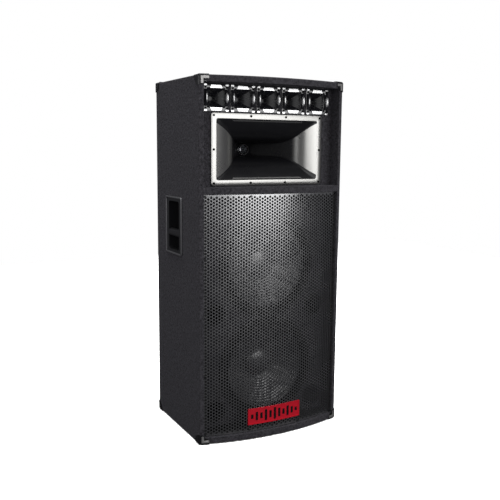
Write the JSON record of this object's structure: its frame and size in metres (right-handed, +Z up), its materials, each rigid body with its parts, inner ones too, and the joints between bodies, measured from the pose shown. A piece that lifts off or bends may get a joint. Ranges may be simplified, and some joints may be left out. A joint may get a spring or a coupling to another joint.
{
  "type": "pa speaker cabinet",
  "caption": "Tall carpeted bass and horn loudspeaker cabinet with bowed front, curved grille, horn, tweeter row, side handles and rear terminals.",
  "frame": {"origin": "middle of the base, level with the underside of the corner protectors", "axes": "+Z up, the grille faces -Y, +X to the right seen from the front"},
  "size_m": [0.5764, 0.442, 1.27],
  "materials": {
    "plywood": "raw board, black at the front openings",
    "carpet": "needled polypropylene carpet",
    "corner_steel": "black gloss pressed steel",
    "screw_steel": "black oxide",
    "black_plastic": "moulded, satin",
    "grille_steel": "black powder coat, semi-gloss",
    "badge_red": "red with black bars",
    "basket_steel": "black textured paint",
    "paper_cone": "pressed paper pulp, coated",
    "cloth": "treated cloth",
    "spider_cloth": "resin-dipped cotton",
    "ferrite": "ground ferrite",
    "zinc_steel": "zinc plated",
    "coil_copper": "enamelled copper on a former",
    "silver_horn": "silver-painted moulding, satin metallic",
    "tweeter_gloss": "polished black moulding",
    "diaphragm": "thin formed dome",
    "brass": "nickel-plated brass",
    "post_red": "red moulding",
    "post_black": "black moulding",
    "circuit": "circuit board with parts",
    "lead_sheath": "PVC sheath"
  },
  "bodies": {
    "cabinet": {"side_panel_left": "plywood", "side_panel_right": "plywood", "top_panel": "plywood", "bottom_panel": "plywood", "rear_panel": "plywood", "upper_baffle": "plywood", "lower_baffle": "plywood", "mid_shelf": "plywood", "window_brace": "plywood", "corner_cleats": "plywood", "grille_frame": "plywood", "carpet_wrap": "carpet", "baffle_carpets": "carpet", "corner_protectors": "corner_steel", "corner_screws": "screw_steel", "handle_left": "black_plastic", "handle_right": "black_plastic", "panel_screws": "screw_steel", "grille": "grille_steel", "grille_screws": "screw_steel", "badge": "badge_red", "woofer_gaskets": "cloth", "woofer_top_plates": "zinc_steel", "woofer_magnets": "ferrite", "woofer_yokes": "zinc_steel", "woofer_screws": "screw_steel", "mid_horn": "silver_horn", "driver_plates": "zinc_steel", "driver_magnet": "ferrite", "driver_cover": "black_plastic", "horn_screws": "screw_steel", "tweeter_capsules": "black_plastic", "port_tubes": "black_plastic", "terminal_cup": "black_plastic", "jack_sockets": "black_plastic", "post_studs": "brass", "crossover": "circuit", "wiring": "lead_sheath", "tweeter_1": "tweeter_gloss", "tweeter_2": "tweeter_gloss", "tweeter_3": "tweeter_gloss", "tweeter_4": "tweeter_gloss", "tweeter_5": "tweeter_gloss", "woofer_lower_basket": "basket_steel", "woofer_lower_surround": "cloth", "woofer_lower_spider": "spider_cloth", "woofer_upper_basket": "basket_steel", "woofer_upper_surround": "cloth", "woofer_upper_spider": "spider_cloth"},
    "woofer_lower_moving": {"woofer_lower_cone": "paper_cone", "woofer_lower_dust_cap": "paper_cone", "woofer_lower_voice_coil": "coil_copper"},
    "woofer_upper_moving": {"woofer_upper_cone": "paper_cone", "woofer_upper_dust_cap": "paper_cone", "woofer_upper_voice_coil": "coil_copper"},
    "driver_moving": {"driver_diaphragm": "diaphragm"},
    "post_black_washer": {"post_washer_black": "brass"},
    "post_black_cap": {"post_cap_black": "post_black"},
    "post_red_washer": {"post_washer_red": "brass"},
    "post_red_cap": {"post_cap_red": "post_red"}
  },
  "joints": [
    {"name": "woofer_lower_stroke", "type": "slide", "parent": "cabinet", "child": "woofer_lower_moving", "axis": [0, -1, 0], "range_m": [-0.007, 0.007], "stiffness_N_per_m": 4000, "deforming": ["woofer_lower_surround", "woofer_lower_spider"]},
    {"name": "woofer_upper_stroke", "type": "slide", "parent": "cabinet", "child": "woofer_upper_moving", "axis": [0, -1, 0], "range_m": [-0.007, 0.007], "stiffness_N_per_m": 4000, "deforming": ["woofer_upper_surround", "woofer_upper_spider"]},
    {"name": "driver_stroke", "type": "slide", "parent": "cabinet", "child": "driver_moving", "axis": [0, -1, 0], "range_m": [-0.0005, 0.0005], "stiffness_N_per_m": 3000},
    {"name": "post_black_lift", "type": "slide", "parent": "cabinet", "child": "post_black_washer", "axis": [0, 1, 0], "range_m": [0, 0.0035]},
    {"name": "post_black_turn", "type": "hinge", "parent": "post_black_washer", "child": "post_black_cap", "pos_m": [-0.019, 0.1915, 0.308], "axis": [0, 1, 0], "range_deg": [0, 1800]},
    {"name": "post_red_lift", "type": "slide", "parent": "cabinet", "child": "post_red_washer", "axis": [0, 1, 0], "range_m": [0, 0.0035]},
    {"name": "post_red_turn", "type": "hinge", "parent": "post_red_washer", "child": "post_red_cap", "pos_m": [0.019, 0.1915, 0.308], "axis": [0, 1, 0], "range_deg": [0, 1800]}
  ],
  "couplings": [
    {"joint": "post_black_turn", "follows": "post_black_lift", "rad_per_m": 8967},
    {"joint": "post_red_turn", "follows": "post_red_lift", "rad_per_m": 8967}
  ]
}
